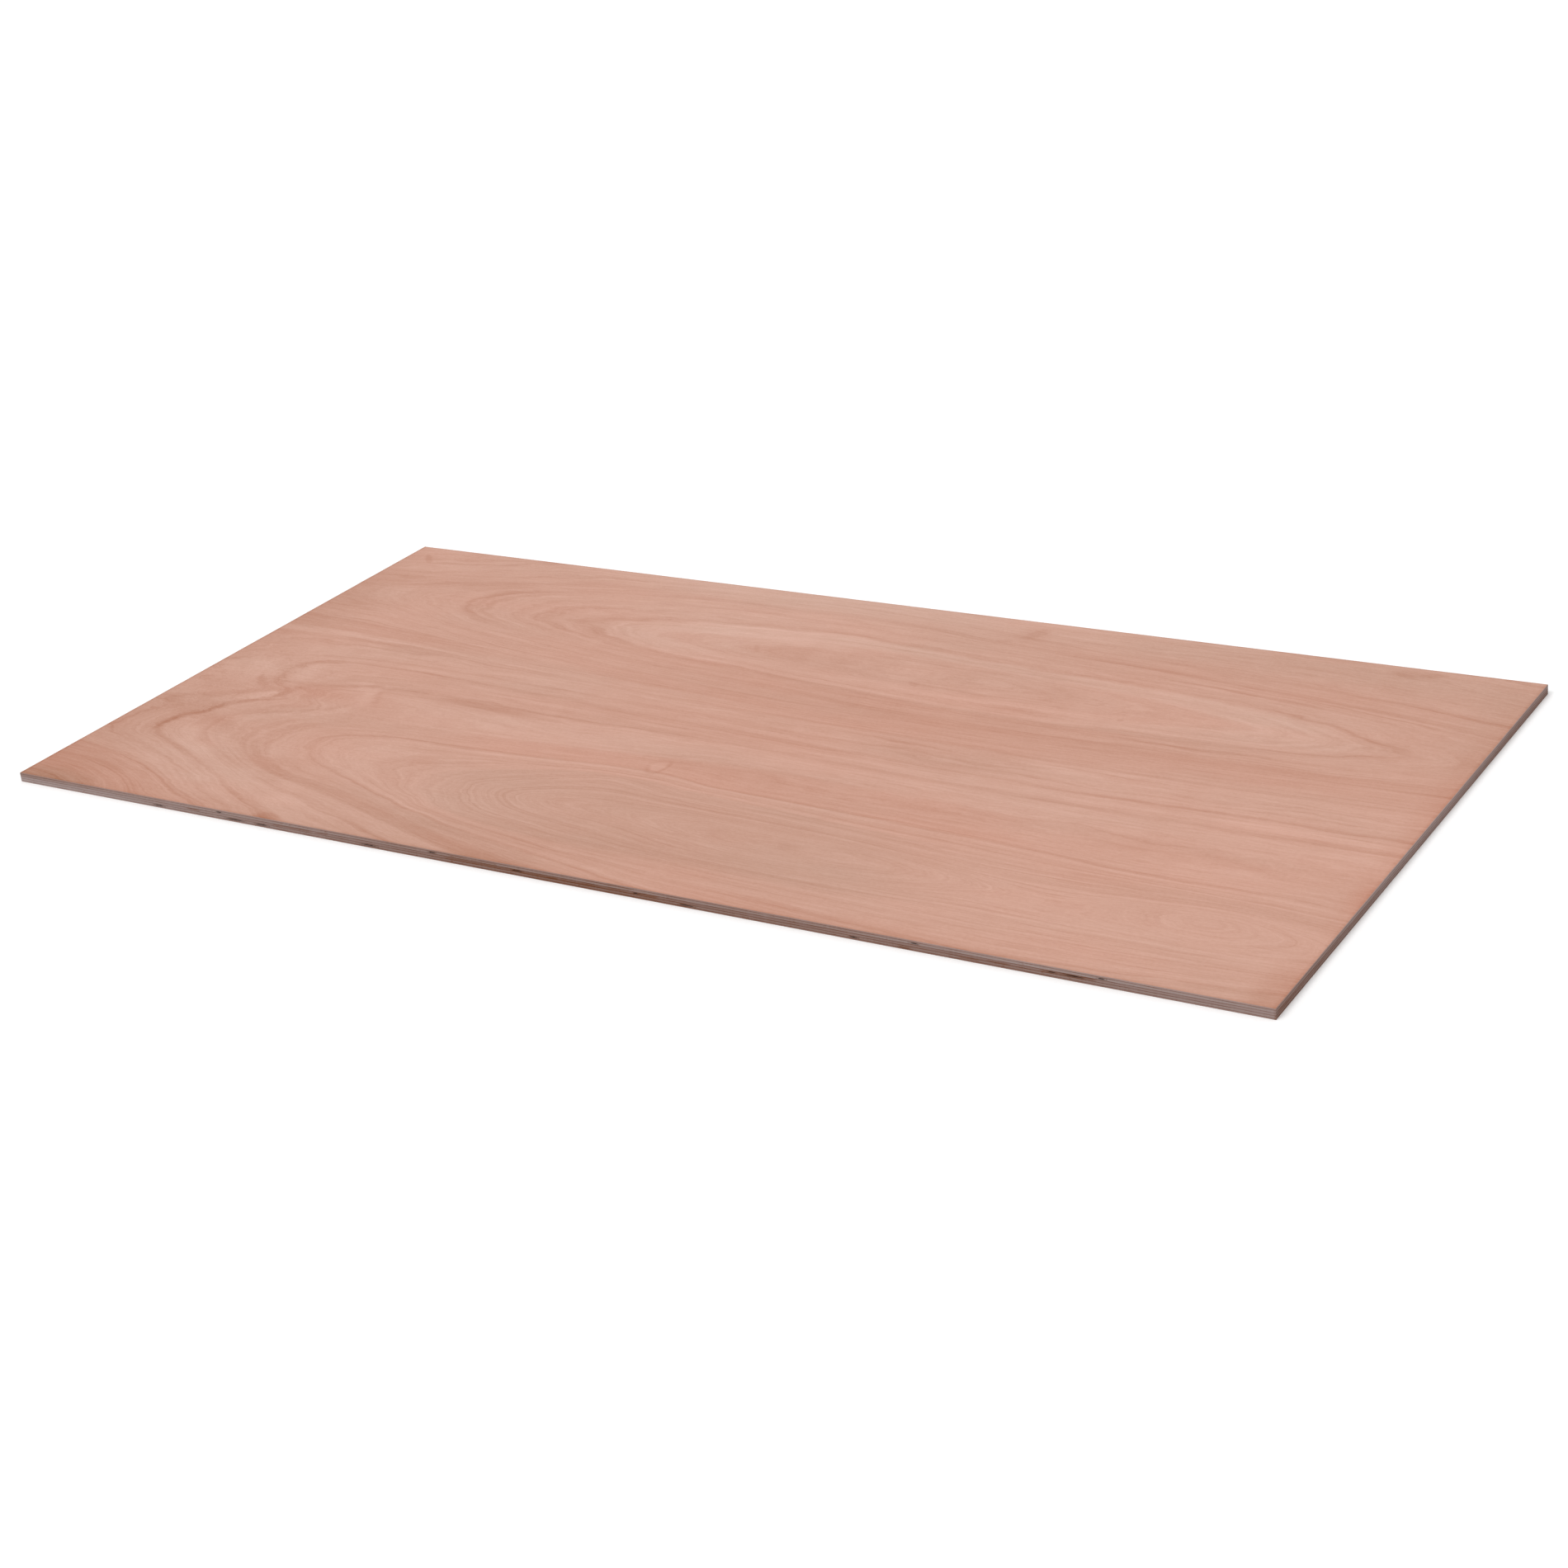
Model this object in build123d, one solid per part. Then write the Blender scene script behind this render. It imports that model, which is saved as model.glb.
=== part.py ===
from build123d import *
import os

# A loose sheet of plywood, lying flat. X runs along its length, Y across it, and Z up.
# The origin is the middle of its underside. Sizes are in millimetres.

# Outline of the sheet
SHEET_LENGTH = 1220.0
SHEET_WIDTH = 610.0

# Plies. The two outer veneers are alike, and so are the two crossbands.
VENEER_THICKNESS = 1.2
CROSSBAND_THICKNESS = 2.2
CENTRE_THICKNESS = 2.2

# The outer edges of both faces are lightly sanded off
ARRIS_RADIUS = 0.35

# Pockets that show as dark spots on the long front edge, where an inner ply has a gap or a torn knot.
# A crossband's gap runs back along its own grain, and the centre ply's is a shallow split along the edge.
GAP_DEPTH = 26.0
SPLIT_DEPTH = 5.0
GAP_ROOF = 0.3
SPLIT_ROOF = 0.4

# Each pocket by its distance from the left end and its length along the front edge
LOWER_GAPS = ((168.0, 13.0), (257.0, 24.0), (287.0, 15.0), (405.0, 18.0), (725.0, 15.0), (877.0, 8.0))
UPPER_GAPS = ((239.0, 7.0), (473.0, 8.0), (930.0, 7.0), (1085.0, 6.0))
CENTRE_SPLITS = ((560.0, 12.0), (677.0, 6.0), (1045.0, 7.0), (1063.0, 17.0))

# Heights of the glue lines above the underside
LOWER_CROSSBAND_Z = VENEER_THICKNESS
CENTRE_Z = LOWER_CROSSBAND_Z + CROSSBAND_THICKNESS
UPPER_CROSSBAND_Z = CENTRE_Z + CENTRE_THICKNESS
FACE_Z = UPPER_CROSSBAND_Z + CROSSBAND_THICKNESS

LEFT_END = -SHEET_LENGTH / 2
FRONT_EDGE = -SHEET_WIDTH / 2


def ply(bottom, thickness):
    """A flat rectangular veneer, as large as the sheet, that starts at a height."""
    return extrude(Plane.XY.offset(bottom) * Rectangle(SHEET_LENGTH, SHEET_WIDTH), thickness)


def sanded(veneer, outer_face):
    """The veneer with the edges of its outer face rounded over."""
    return fillet(veneer.faces().sort_by(Axis.Z)[outer_face].edges(), ARRIS_RADIUS)


def pocket(from_left, length, bottom, thickness, depth, roof):
    """A lens-shaped pocket in the front edge, in the middle of a ply, that runs back into the sheet."""
    x = LEFT_END + from_left
    z = bottom + thickness / 2
    rise = thickness / 2 - roof
    left, right = (x - length / 2, z), (x + length / 2, z)
    mouth = Plane.XZ.offset(-FRONT_EDGE)
    outline = ThreePointArc(left, (x, z + rise), right) + ThreePointArc(right, (x, z - rise), left)
    return extrude(mouth * make_face(outline), -depth)


def pocketed(bottom, thickness, pockets, depth, roof):
    """An inner ply with its pockets cut into the front edge."""
    body = ply(bottom, thickness)
    for from_left, length in pockets:
        body -= pocket(from_left, length, bottom, thickness, depth, roof)
    return body


def back_veneer():
    return sanded(ply(0, VENEER_THICKNESS), 0)


def lower_crossband():
    return pocketed(LOWER_CROSSBAND_Z, CROSSBAND_THICKNESS, LOWER_GAPS, GAP_DEPTH, GAP_ROOF)


def centre_ply():
    return pocketed(CENTRE_Z, CENTRE_THICKNESS, CENTRE_SPLITS, SPLIT_DEPTH, SPLIT_ROOF)


def upper_crossband():
    return pocketed(UPPER_CROSSBAND_Z, CROSSBAND_THICKNESS, UPPER_GAPS, GAP_DEPTH, GAP_ROOF)


def face_veneer():
    return sanded(ply(FACE_Z, VENEER_THICKNESS), -1)


PLIES = (back_veneer, lower_crossband, centre_ply, upper_crossband, face_veneer)

os.makedirs("parts", exist_ok=True)
for make in PLIES:
    solid = make()
    solid.label = make.__name__
    export_step(solid, f"parts/{make.__name__}.step")
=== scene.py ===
"""A loose plywood sheet: five plies as meshes, their wood, a pale floor, soft light and a camera."""
import math

import bpy
import numpy as np
from mathutils import Matrix, Vector


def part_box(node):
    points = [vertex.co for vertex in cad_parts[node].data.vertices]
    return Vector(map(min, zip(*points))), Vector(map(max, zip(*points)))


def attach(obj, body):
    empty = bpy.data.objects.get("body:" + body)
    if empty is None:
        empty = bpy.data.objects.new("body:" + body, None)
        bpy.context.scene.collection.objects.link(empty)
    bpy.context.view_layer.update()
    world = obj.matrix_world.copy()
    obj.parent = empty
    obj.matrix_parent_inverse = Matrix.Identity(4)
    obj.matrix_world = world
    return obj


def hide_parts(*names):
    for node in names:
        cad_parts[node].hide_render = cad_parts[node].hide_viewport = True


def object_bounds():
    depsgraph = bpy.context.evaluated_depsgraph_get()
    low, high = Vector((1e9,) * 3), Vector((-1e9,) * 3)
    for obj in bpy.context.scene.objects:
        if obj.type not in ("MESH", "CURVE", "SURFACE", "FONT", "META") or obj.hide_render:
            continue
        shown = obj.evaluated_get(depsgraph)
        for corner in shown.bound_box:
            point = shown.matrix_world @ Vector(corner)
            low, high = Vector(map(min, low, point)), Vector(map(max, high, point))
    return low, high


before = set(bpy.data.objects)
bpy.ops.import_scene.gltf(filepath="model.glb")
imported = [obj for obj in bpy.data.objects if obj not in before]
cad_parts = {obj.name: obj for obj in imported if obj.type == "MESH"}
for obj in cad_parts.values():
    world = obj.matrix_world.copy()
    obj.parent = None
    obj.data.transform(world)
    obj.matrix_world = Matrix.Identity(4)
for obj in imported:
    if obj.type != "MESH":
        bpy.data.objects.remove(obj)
cad_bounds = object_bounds()

MM = 0.001

# The sheet, from the frame: X along its length, Y across it, Z up from the underside
LOW, HIGH = cad_bounds
LENGTH = HIGH.x - LOW.x
WIDTH = HIGH.y - LOW.y
PLY_NAMES = ("back_veneer", "lower_crossband", "centre_ply", "upper_crossband", "face_veneer")
GLUE_HEIGHTS = tuple(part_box(name)[0].z for name in PLY_NAMES) + (HIGH.z,)

# The sides in the order that the columns of a wall go round them, anticlockwise from the front-left corner
FRONT, RIGHT, BACK, LEFT = range(4)
CORNERS = ((LOW.x, LOW.y), (HIGH.x, LOW.y), (HIGH.x, HIGH.y), (LOW.x, HIGH.y))
SIDE_LENGTHS = (LENGTH, WIDTH) * 2

# The camera, at the photo's angle: it looks down on the sheet from the right of its front edge
CAMERA_PLACE = Vector((1.325, -1.981, 1.031))
CAMERA_AIM = Vector((0.0786, -0.0931, 0.009))
CAMERA_LENS = 67.2
CAMERA_SENSOR = 36.0
CAMERA_ROLL = math.radians(6.02)


def add_object(name, data):
    made = bpy.data.objects.new(name, data)
    bpy.context.scene.collection.objects.link(made)
    return made


def add_camera():
    """A camera at its place, turned clockwise about its view by the roll."""
    data = bpy.data.cameras.new("camera")
    data.lens = CAMERA_LENS
    data.sensor_width = CAMERA_SENSOR
    camera = add_object("camera", data)
    view = (CAMERA_AIM - CAMERA_PLACE).normalized()
    level = view.cross(Vector((0, 0, 1))).normalized()
    upright = level.cross(view)
    right = math.cos(CAMERA_ROLL) * level - math.sin(CAMERA_ROLL) * upright
    up = right.cross(view)
    turn = Matrix((right, up, -view)).transposed()
    camera.matrix_world = Matrix.Translation(CAMERA_PLACE) @ turn.to_4x4()
    bpy.context.scene.camera = camera


# How far one step of a noise's seed moves it along each axis
SEED_STEP = (7.31, 3.17, 5.03)


class Tree:
    """Short calls that build the node tree of one material or of the world."""

    def __init__(self, owner):
        owner.use_nodes = True
        self.owner, self.tree = owner, owner.node_tree
        self.tree.nodes.clear()

    def node(self, kind, **settings):
        made = self.tree.nodes.new("ShaderNode" + kind)
        for name, value in settings.items():
            setattr(made, name, value)
        return made

    def join(self, value, socket):
        """Links a socket, or sets a plain value."""
        if isinstance(value, bpy.types.NodeSocket):
            self.tree.links.new(value, socket)
        elif value is not None:
            socket.default_value = value

    def filled(self, values, kind, **settings):
        """The first output of a new node, whose inputs are filled in order."""
        made = self.node(kind, **settings)
        for value, socket in zip(values, made.inputs):
            self.join(value, socket)
        return made.outputs[0]

    def named(self, kind, values):
        """The first output of a new node, whose inputs are filled by name."""
        made = self.node(kind)
        for name, value in values.items():
            self.join(value, made.inputs[name])
        return made.outputs[0]

    def finish(self, kind, shader):
        """Gives the shader to the tree's output."""
        self.join(shader, self.node(kind).inputs["Surface"])

    def maths(self, operation, *values):
        return self.filled(values, "Math", operation=operation)

    def times(self, value, factor):
        return self.maths("MULTIPLY", value, factor)

    def scale_add(self, value, factor, more):
        return self.maths("MULTIPLY_ADD", value, factor, more)

    def squares(self, one, other):
        """The sum of two squares."""
        return self.scale_add(one, one, self.times(other, other))

    def total(self, *values):
        """The sum of the values."""
        result = values[0]
        for value in values[1:]:
            result = self.maths("ADD", result, value)
        return result

    def vectors(self, operation, *values):
        return self.filled(values, "VectorMath", operation=operation)

    def scaled(self, vector, factor):
        """A vector times a number, which goes in the node's fourth socket."""
        return self.vectors("SCALE", vector, None, None, factor)

    def vector(self, x, y, z):
        return self.filled((x, y, z), "CombineXYZ")

    def background_rays(self):
        """1 on the rays that show the background: from the camera, off a gloss or through glass."""
        rays = self.node("LightPath").outputs
        seen = self.maths("MAXIMUM", rays["Is Camera Ray"], rays["Is Glossy Ray"])
        return self.maths("MAXIMUM", seen, rays["Is Transmission Ray"])

    def place(self):
        """The point being shaded, in the sheet's own metres."""
        return self.node("TexCoord").outputs["Object"]

    def axes(self, vector):
        made = self.node("SeparateXYZ")
        self.join(vector, made.inputs[0])
        return made.outputs

    def attribute(self, name):
        return self.node("Attribute", attribute_name=name).outputs["Fac"]

    def noise(self, vector, stretch, detail, rough, gain, seed):
        """Noise round zero. The stretch gives its waves a metre along each axis, and the seed moves it."""
        moved = self.vectors("MULTIPLY_ADD", vector, stretch, [seed * step for step in SEED_STEP])
        values = {"Vector": moved, "Scale": 1.0, "Detail": detail, "Roughness": rough}
        return self.scale_add(self.named("TexNoise", values), gain, -0.5 * gain)

    def ramp(self, value, start, end, low=0.0, high=1.0):
        """A smooth step from low to high as the value goes from start to end."""
        values = (value, start, end, low, high)
        return self.filled(values, "MapRange", interpolation_type="SMOOTHSTEP")


# Colour. A darkness is counted in steps of the photo's 0 to 255 scale, below the base colour.

DARKER = (0.0086, 0.0142, 0.0176)       # what one step of darkness takes off red, green and blue
REDDER = (0.0105, -0.0045, -0.0070)     # what one step of redness adds to them
WOOD_SPECULAR = 0.22
BUMP_STRENGTH = 0.5


def linear(red, green, blue):
    """A colour on the 0 to 255 scale, in the linear light that a shader takes."""
    def channel(value):
        share = value / 255
        return share / 12.92 if share <= 0.04045 else ((share + 0.055) / 1.055) ** 2.4
    return (channel(red), channel(green), channel(blue))


def shaded(tree, base, darkness, redness):
    """The base colour, darkened, and reddened unless the redness is None."""
    factor = tree.vectors("SUBTRACT", (1, 1, 1), tree.scaled(DARKER, darkness))
    if redness is not None:
        factor = tree.vectors("ADD", factor, tree.scaled(REDDER, redness))
    return tree.vectors("MULTIPLY", factor, base)


def finish_wood(tree, colour, relief, roughness, depth):
    """Gives the tree a shader of bare wood with a little relief, and returns its material."""
    bump = tree.named("Bump", {"Strength": BUMP_STRENGTH, "Distance": depth, "Height": relief})
    surface = tree.named("BsdfPrincipled", {
        "Base Color": colour, "Roughness": roughness, "Specular IOR Level": WOOD_SPECULAR, "Normal": bump})
    tree.finish("OutputMaterial", surface)
    return tree.owner


# Floor and light

FLOOR_SIZE = 40.0
FLOOR_COLOUR = (0.95, 0.95, 0.95, 1.0)
FLOOR_GLOW = 0.14
SKY_STRENGTH = 0.68
SUN_STRENGTH = 1.3
SUN_ANGLE = math.radians(30)
SUN_FROM = Vector((-0.35, -0.85, 1.124))


def add_floor():
    """A pale floor, which the camera and reflections see as white. It keeps the shadow."""
    mesh = bpy.data.meshes.new("floor")
    half = FLOOR_SIZE / 2
    corners = [(-half, -half, 0), (half, -half, 0), (half, half, 0), (-half, half, 0)]
    mesh.from_pydata(corners, [], [(0, 1, 2, 3)])
    floor = add_object("floor", mesh)
    material = bpy.data.materials.new("pale_floor")
    tree = Tree(material)
    surface = tree.named("BsdfDiffuse", {"Color": FLOOR_COLOUR})
    glow = tree.named("Emission", {"Strength": tree.times(tree.background_rays(), FLOOR_GLOW)})
    tree.finish("OutputMaterial", tree.filled((surface, glow), "AddShader"))
    mesh.materials.append(material)


def add_light():
    """An even sky and a wide soft sun from the front left. The camera and reflections see white sky."""
    sun = bpy.data.lights.new("sun", "SUN")
    sun.energy = SUN_STRENGTH
    sun.angle = SUN_ANGLE
    lamp = add_object("sun", sun)
    lamp.rotation_euler = SUN_FROM.to_track_quat("Z", "Y").to_euler()
    world = bpy.data.worlds.new("studio")
    bpy.context.scene.world = world
    tree = Tree(world)
    strength = tree.scale_add(tree.background_rays(), 1.0 - SKY_STRENGTH, SKY_STRENGTH)
    sky = tree.named("Background", {"Color": (1, 1, 1, 1), "Strength": strength})
    tree.finish("OutputWorld", sky)


# The figure of the face veneer. Its growth rings are curves drawn in hundredths of the sheet's width,
# x from the left end and y from the back edge. A ring's level counts the growth that it stands for,
# and between the rings the level is filled in by a thin bent plate that passes through them all.

HUNDREDTH = WIDTH / 100
RINGS = (
    # The island at the back of the sheet and the rings round it
    (0, ((92, 24), (112, 24.5), (135, 25.3))),
    (1, ((64, 22.5), (72, 19.6), (97, 17.6), (120, 19), (150, 22.3), (168.5, 28.6), (150, 30.5),
         (120, 30.5), (90, 28.3), (72, 25.8), (64, 22.5))),
    (2, ((50.3, 21.3), (57, 18.7), (66, 16), (80, 14.3), (95, 13.8), (110, 15.4), (130, 17.2),
         (150, 18.7), (170, 21.3), (184, 26), (189, 29.6), (180, 32.5), (165, 33.6), (150, 33.9),
         (140, 34.7), (120, 34.2), (103, 32.8), (80, 30.4), (66, 28.8), (55, 25), (50.3, 21.3))),
    (3, ((200, 24.5), (176, 18.2), (150, 14.8), (125, 12.2), (108, 11.2), (80, 9.8), (62, 10.5),
         (45, 13.8), (36.5, 17.5), (35.2, 21), (40, 25), (52, 28.5), (66, 31), (90, 33.6), (120, 36),
         (150, 36.4), (180, 35.6), (200, 33.5))),
    (4, ((200, 20), (180, 16.5), (160, 13.7), (145, 12), (130, 10.9), (118, 9.7), (100, 7.2), (80, 6.8),
         (62, 7.2), (47, 9.6), (35, 12.6), (27.5, 16.7), (25.3, 20.5), (30, 25), (44, 29.3), (65, 33),
         (77, 34.5), (92, 35.5), (110, 37.6), (130, 38.7), (160, 38.7), (185, 38.2), (200, 37))),
    (6, ((0, 17), (6, 16.6), (16, 13.8), (25, 10.8), (45, 6), (65, 3.8), (90, 3.2), (110, 4.9),
         (131, 7.6), (153, 9.2), (180, 12.2), (200, 15.6))),
    (6, ((0, 24.5), (12, 25.6), (25, 29.5), (45, 33.8), (70, 37.2), (100, 39.8), (140, 41), (175, 40.6),
         (200, 40))),
    (7, ((0, 11.5), (12, 9.8), (28, 5.6), (42, 2.5))),
    (7, ((150, 5.6), (175, 8.2), (200, 11.6))),
    (8, ((0, 5.5), (12, 3.6), (24, 0.5))),
    (8, ((180, 3.6), (200, 7.2))),
    (8, ((0, 32.8), (15, 33.6), (30, 35.4), (50, 38.2), (75, 40.8), (105, 42.6), (140, 43.4),
         (170, 43.2), (200, 42.7))),
    # The straight rings along the middle
    (10, ((0, 40.6), (20, 40.2), (42, 41.7), (65, 43.2), (90, 44.6), (110, 45.1), (135, 45.9),
          (155, 46.6), (175, 46.5), (200, 46))),
    (11, ((3, 60), (3.5, 55), (6, 51.5), (12, 48.8), (20, 46.6), (35, 46.2), (60, 46.6), (85, 48.2),
          (120, 49.6), (160, 50.5), (200, 50.3))),
    # The strong ring that hooks round the disturbed grain, and what lies in front of it
    (12, ((200, 54.2), (178, 54), (157, 54.3), (137, 53.6), (115, 52.8), (95, 51.6), (75, 50.4),
          (55, 49.2), (35, 48.2), (22, 48.4), (15.6, 50.2), (14.3, 53.5), (15.6, 58), (20.5, 60.8),
          (21.2, 63.6), (16, 66.6), (12.8, 69.3), (12.3, 71.6), (9.6, 74.6), (8.5, 77.6), (10, 80.4),
          (18, 84.3), (27, 88.6), (38, 94.4), (49, 100))),
    (11.4, ((10.2, 54), (11.5, 57.6), (15.6, 61.3), (12, 63.8), (4, 66), (0, 67.5))),
    (10, ((0, 87), (10, 89), (20, 92.4), (28, 96.5), (35, 99.5))),
    (8, ((0, 91.5), (8, 92.2), (16, 95), (22, 99))),
    (6, ((0, 96), (8, 97), (14, 99.5))),
    # The long arches at the front of the sheet
    (14, ((200, 58.4), (170, 58.3), (140, 57.9), (115, 56.9), (92, 55.7), (66, 55.8), (42, 54.9),
          (28, 56.4), (22.5, 59.4), (24.5, 62.2), (23.5, 66.5), (18.5, 71), (16.5, 76), (20, 80.4),
          (30, 86), (42, 90.6), (54, 94.6), (66, 98.4))),
    (16, ((200, 68.4), (165, 66.8), (130, 65.4), (100, 64.2), (70, 65.9), (48, 67), (34, 69.4),
          (29.4, 73.6), (28, 78.6), (32, 83), (40, 86.8), (52, 89.3), (64, 93), (77, 97), (88, 99.6))),
    (18, ((200, 74.8), (190, 73.8), (170, 73.6), (148, 71.8), (120, 70.2), (103, 69.4), (91, 67.8),
          (77, 68.8), (62, 69.8), (47, 70.6), (39.5, 72.6), (37.2, 76.4), (41, 80.8), (50, 84.4),
          (62, 88.8), (78, 93.4), (97, 97), (112, 100))),
    (20, ((200, 76.9), (185, 75.9), (160, 75.2), (140, 73.6), (115, 71.7), (90, 69.8), (74, 71.4),
          (60, 74.2), (51, 78.4), (55, 82.6), (66, 88.7), (82, 92.3), (103, 95.4), (127, 97.6),
          (160, 99.6))),
    (22, ((200, 78.7), (185, 77.2), (160, 77.5), (140, 76.2), (120, 74.4), (99, 73.2), (88, 71.4),
          (79, 74.3), (70, 78.2), (68.6, 81.2), (74, 86.6), (88, 89.6), (107, 91.7), (130, 93.5),
          (160, 94.4), (185, 94.3), (200, 93))),
    (24, ((200, 81.4), (185, 79), (168, 80.3), (150, 79.7), (130, 77.4), (108, 76.3), (88, 75.3),
          (78, 78.6), (75, 81.2), (80, 85), (95, 87.6), (110, 90), (135, 91), (170, 91.3), (200, 91))),
    (26, ((156, 84.3), (140, 79.8), (118, 78.2), (95, 78.4), (84, 80.6), (87, 83), (100, 85),
          (115, 87.8), (140, 87.6), (156, 84.3))),
    (28, ((112, 82.3), (128, 82), (140, 83))),
    (26, ((169, 84.8), (176, 81.6), (187, 80.6), (197, 84.4), (188, 88.3), (176, 87.6), (169, 84.8))),
    (27, ((180, 84.6), (189, 84.4))),
)

# The figure is drawn out along the grain, so lengths count for less that way than across it. The rings
# hold the plate at every step along them, with a little slack, and it is read in so many lots.
GRAIN_STRETCH = 3.2
RING_STEP = 3.0
PLATE_SLACK = 0.02
PLATE_LOTS = 16

# Each ring that shows: its level, its darkness, and how wide it fades towards lower and higher levels,
# in hundredths of the width. A negative darkness is a pale ring.
RING_LINES = (
    (1.05, -3, 0.9, 0.9), (1.4, 2.5, 0.5, 0.5), (1.72, -3.5, 0.8, 0.8), (2, 7, 0.8, 2),
    (2.5, 1.5, 0.5, 0.8), (3, 3.5, 0.8, 1), (3.5, 1.5, 0.5, 0.5), (4, 7.5, 0.8, 1.6),
    (5, 2, 0.9, 0.9), (6, 4.5, 1.8, 0.7), (7, 2.5, 0.7, 0.7), (8, 3, 0.9, 0.9),
    (9.6, -3, 0.6, 0.5), (10, 4.5, 0.9, 0.6), (11, 3.5, 0.6, 0.6), (12, 8, 0.7, 0.7),
    (13, -3, 0.6, 1), (14, 7, 1.1, 0.6), (14.9, -2.5, 1.2, 1.4), (16, 2.5, 1.2, 0.9),
    (17, 2, 0.6, 0.6), (18, 8.5, 0.6, 0.4), (18.55, -4, 0.35, 0.6), (19.3, 2.5, 0.35, 0.35),
    (20, 4, 0.5, 0.4), (20.55, -3, 0.35, 0.4), (21.2, 2.5, 0.35, 0.35), (22, 4, 0.5, 0.4),
    (22.55, -3, 0.35, 0.45), (23.2, 2.5, 0.35, 0.35), (24, 4.5, 0.5, 0.5), (24.6, -2.5, 0.4, 0.4),
    (25.2, 2, 0.4, 0.4), (26, 2.5, 0.5, 0.5), (27, -2, 0.6, 0.6),
)

# Stretches between two growth levels that are darker or paler, redder or greyer than the rest:
# (levels), (x from, to), (y from, to), darkness, redness
BANDS = (
    ((-1, 0.5), (86, 108), (20, 29), 3, -0.5),
    ((0.9, 1.6), (52, 80), (14, 32), -7, -1),
    ((0.4, 1.95), (72, 96), (14, 25), -5, -1),
    ((1.0, 1.9), (96, 178), (14, 26), -3.5, -1.5),
    ((0.7, 1.9), (96, 176), (26, 36), -2.5, 1),
    ((0.9, 1.7), (160, 182), (20, 32), -3, -1),
    ((2.0, 3.2), (38, 60), (16, 27), 2, 0.5),
    ((2.3, 10.0), (85, 160), (33, 48), 2.5, 1),
    ((4.0, 10.0), (160, 215), (33, 48), 2.5, 0.5),
    ((6.0, 8.2), (60, 95), (30, 43), 3.5, 1),
    ((7.9, 9.3), (-15, 40), (30, 42), 6, 0.5),
    ((9.3, 9.9), (-15, 25), (34, 43), -4, -0.5),
    ((10.0, 13.8), (140, 215), (44, 60), -3, 1),
    ((12.2, 13.8), (30, 125), (46, 58), 2, 0.5),
    ((14.0, 14.5), (43, 66), (53, 61), 7, 0.5),
    ((14.0, 15.6), (66, 215), (54, 68), -4, 0.5),
    ((14.5, 15.6), (38, 66), (54, 68), -3, 0.5),
    ((15.6, 18.0), (60, 150), (62, 72), 2.5, 2),
    ((14.3, 18.0), (10, 36), (62, 84), -2, -1),
    ((18.6, 20.0), (36, 55), (70, 84), -4, 0),
    ((21.0, 30.0), (64, 140), (70, 92), 3, -2.5),
    ((24.0, 30.0), (150, 215), (76, 92), -3.5, 0.5),
    ((20.0, 24.0), (140, 215), (90, 100), -3, 1),
    ((12.3, 13.9), (14, 60), (82, 101), -5, -0.5),
    ((13.8, 15.4), (20, 80), (82, 101), -2, -0.5),
    ((15.4, 17.9), (30, 44), (82, 92), 6, 0.5),
    ((15.3, 16.5), (42, 95), (84, 101), 8, -1),
    ((16.5, 17.9), (50, 95), (86, 101), 2.5, -1.5),
    ((4.0, 10.0), (-15, 26), (84, 103), 8, 1),
)

# Soft patches, one of them painted sheen: (x, y), (half length, half width), darkness, redness
PATCHES = (
    ((8.5, 71), (6, 4), 6, 0),
    ((14, 58.5), (4, 4), 4, 0),
    ((6, 62.5), (8, 4), 5, 0),
    ((5, 55), (8, 6), -5, 0),
    ((24, 60), (9, 3.5), 5, 1),
    ((50, 56.8), (15, 2.4), 5, -0.5),
    ((24, 73), (9, 5), 3, 0),
    ((20, 12.5), (20, 4.5), 5, 0.5),
    ((5, 100), (14, 5), 13, -4),
    ((46, 94), (6, 3), -5, 0.5),
    ((28, 92), (5, 2.5), -4, -1),
    ((183, 56), (16, 2), -4, 0.5),
    ((88, 100), (16, 4), 6, 0),
    ((186, 28), (8, 3), 3, -1),
    ((28, 20), (4, 7), 3, 0),
    ((170, 5), (50, 9), 4, -2),
    # Painted sheen: the paler, greyer stretch along the back edge
    ((85, 1), (66, 9), -9, -2.5),
    ((75, 14), (56, 10), -5, 0.5),
    ((105, 61), (40, 5), 4, -1),
    ((90, 92), (60, 6), 4, -1),
    ((180, 72), (22, 7), -4, 0),
    ((28, 85), (7, 5), 5, 0),
    ((200, 98), (6, 16), 12, 0),
    ((-4, 30), (20, 42), 10, -1),
    ((-4, 82), (26, 30), 9, -1.5),
    ((30, 66), (26, 14), 3, 0),
    ((203, 45), (8, 65), 9, 1),
    ((203, 18), (16, 30), 5, -2),
    ((165, 73), (50, 9), 0, 2.5),
    ((132, 49), (24, 7), 4, -0.5),
    ((201, 71), (5, 6), 6, 2),
    ((6, 94), (20, 4), 4, 0),
    ((40, 101), (60, 7), 7, -1.5),
    ((75, 98), (40, 9), 3, -1.5),
    ((140, 101), (60, 6), 6, 0.5),
    ((58, 76), (4, 3), 4, 1),
    ((122, 5), (4, 4), 6, 0.5),
    ((182, 2), (6, 3), 5, 0.5),
)

# How the face darkens towards each of its rims: (millimetres from the rim, darkness there)
RIMS = {FRONT: (4, 14), RIGHT: (3, 12), BACK: (3, 16), LEFT: (3, 16)}

# Where the grain is disturbed and its rings run jagged: (x, y), (half length, half width), share
TURMOIL = (
    ((12, 62), (18, 20), 0.9),
    ((40, 74), (30, 22), 0.22),
    ((28, 20), (32, 18), 0.08),
)

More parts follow.
